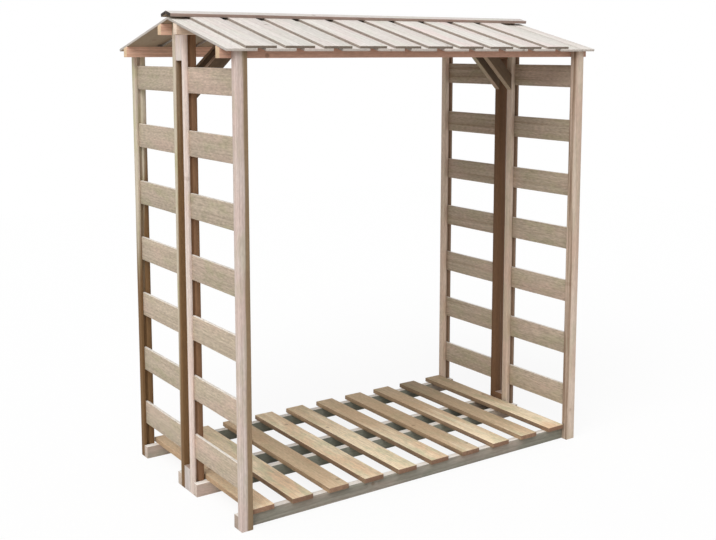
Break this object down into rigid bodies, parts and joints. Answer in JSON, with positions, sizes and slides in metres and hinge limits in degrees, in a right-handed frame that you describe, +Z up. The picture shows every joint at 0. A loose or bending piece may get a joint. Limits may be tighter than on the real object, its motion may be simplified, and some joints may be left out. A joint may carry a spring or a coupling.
{
  "type": "log store",
  "caption": "Free-standing open timber log store with slatted sides, a slatted floor on sills and a gable roof of overlapping boards; stacks and dries firewood.",
  "frame": {"origin": "on the ground, in the middle of the plan", "axes": "+X to the right along the front, +Y to the back, +Z up"},
  "size_m": [1.67, 0.8904, 1.7599],
  "materials": {
    "post": "sawn pine, impregnated, weathered",
    "beam": "sawn pine, impregnated, brown-grey",
    "slat": "planed pine, grey-beige",
    "floor": "planed pine, golden",
    "roof": "planed pine, pale"
  },
  "bodies": {
    "root": {"post_front_left": "post", "post_front_right": "post", "post_midfront_left": "post", "post_midfront_right": "post", "post_midrear_left": "post", "post_midrear_right": "post", "post_rear_left": "post", "post_rear_right": "post", "block_low_left": "post", "block_low_right": "post", "block_top_left": "post", "block_top_right": "post", "sill_front": "beam", "sill_midfront": "beam", "sill_midrear": "beam", "sill_rear": "beam", "plate_front": "beam", "ridge_beam_front": "beam", "ridge_beam_rear": "beam", "plate_rear": "beam", "brace_front_left": "beam", "brace_front_right": "beam", "brace_rear_left": "beam", "brace_rear_right": "beam", "slats_front_left": "slat", "slats_front_right": "slat", "slats_rear_left": "slat", "slats_rear_right": "slat", "floor_boards": "floor", "roof_lower_front": "roof", "roof_lower_rear": "roof", "roof_upper_front": "roof", "roof_upper_rear": "roof", "ridge_cap_front": "roof", "ridge_cap_rear": "roof"}
  },
  "joints": []
}
